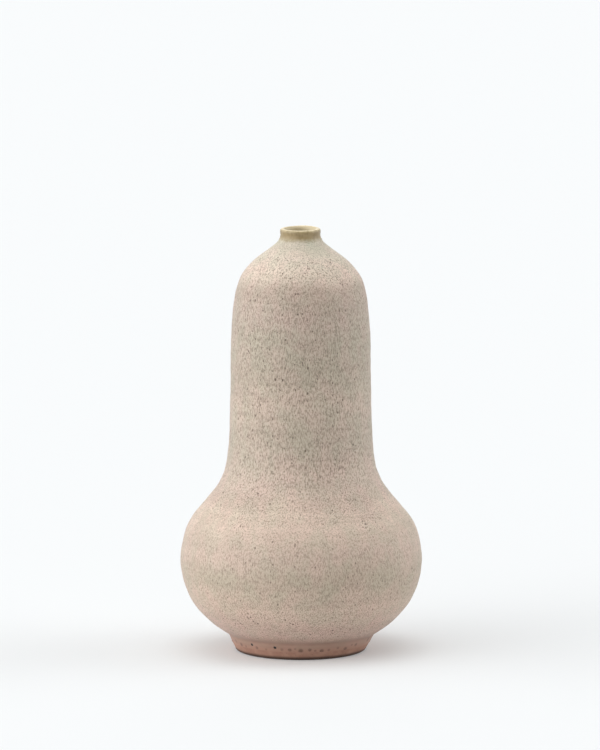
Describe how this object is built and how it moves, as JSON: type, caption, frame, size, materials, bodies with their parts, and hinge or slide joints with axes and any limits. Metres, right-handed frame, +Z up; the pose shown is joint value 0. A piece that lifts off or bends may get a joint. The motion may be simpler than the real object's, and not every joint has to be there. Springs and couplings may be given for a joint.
{
  "type": "bud vase",
  "caption": "Gourd-shaped ceramic bud vase: round belly, tall column, domed shoulder and a small collared mouth for a single stem, on a turned foot ring.",
  "frame": {"origin": "centre of the standing face of the foot ring", "axes": "+Z up along the axis the vase is turned about, towards the mouth; +X and +Y are any two square directions, because the vase is round"},
  "size_m": [0.1134, 0.1134, 0.2],
  "materials": {
    "bare_clay": "matte",
    "stoneware": "matte",
    "rim_glaze": "satin",
    "matte_glaze": "matte",
    "liner_glaze": "satin"
  },
  "bodies": {
    "root": {"foot_ring": "bare_clay", "lower_section": "stoneware", "upper_section": "stoneware", "collar": "rim_glaze", "outer_glaze": "matte_glaze", "liner_glaze": "liner_glaze"}
  },
  "joints": []
}
